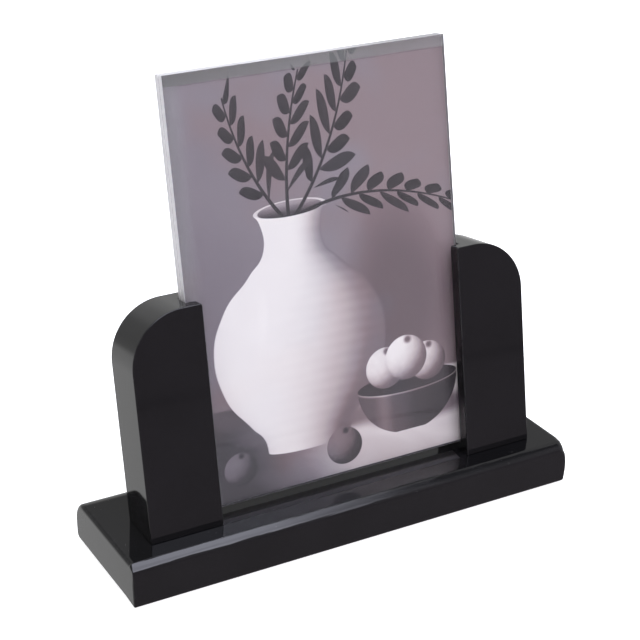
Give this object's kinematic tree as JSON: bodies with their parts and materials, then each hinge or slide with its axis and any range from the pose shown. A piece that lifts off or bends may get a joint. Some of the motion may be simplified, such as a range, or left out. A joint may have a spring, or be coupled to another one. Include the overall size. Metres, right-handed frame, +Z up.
{
  "type": "acrylic photo frame",
  "caption": "Free-standing photo frame: clear acrylic sheets holding a print, standing in slotted black acrylic uprights with rounded outer corners on a black acrylic base.",
  "frame": {"origin": "centre of the bounding box on the surface the feet stand on", "axes": "+X along the base to the viewer's right, +Y from the picture's front to its back, +Z up"},
  "size_m": [0.209, 0.0622, 0.1993],
  "materials": {
    "black_acrylic": "polished cast acrylic, opaque black, with fine handling scratches and dust",
    "clear_acrylic": "polished clear acrylic sheet",
    "print_paper": "photo paper with a mauve-grey monochrome still life, white back",
    "screw_steel": "zinc-plated steel",
    "foot_rubber": "matt self-adhesive bumper"
  },
  "bodies": {
    "stand": {"base_block": "black_acrylic", "left_upright": "black_acrylic", "right_upright": "black_acrylic", "screw_left_outer": "screw_steel", "screw_left_inner": "screw_steel", "screw_right_inner": "screw_steel", "screw_right_outer": "screw_steel", "foot_front_left": "foot_rubber", "foot_front_right": "foot_rubber", "foot_back_left": "foot_rubber", "foot_back_right": "foot_rubber"},
    "front_sheet": {"front_pane": "clear_acrylic"},
    "print": {"photo_print": "print_paper"},
    "back_sheet": {"back_pane": "clear_acrylic"}
  },
  "joints": [
    {"name": "front_pane_lift", "type": "slide", "parent": "stand", "child": "front_sheet", "axis": [0, 0.1668, 0.986], "range_m": [0, 0.1]},
    {"name": "print_lift", "type": "slide", "parent": "stand", "child": "print", "axis": [0, 0.1668, 0.986], "range_m": [0, 0.1]},
    {"name": "back_pane_lift", "type": "slide", "parent": "stand", "child": "back_sheet", "axis": [0, 0.1668, 0.986], "range_m": [0, 0.1]}
  ]
}
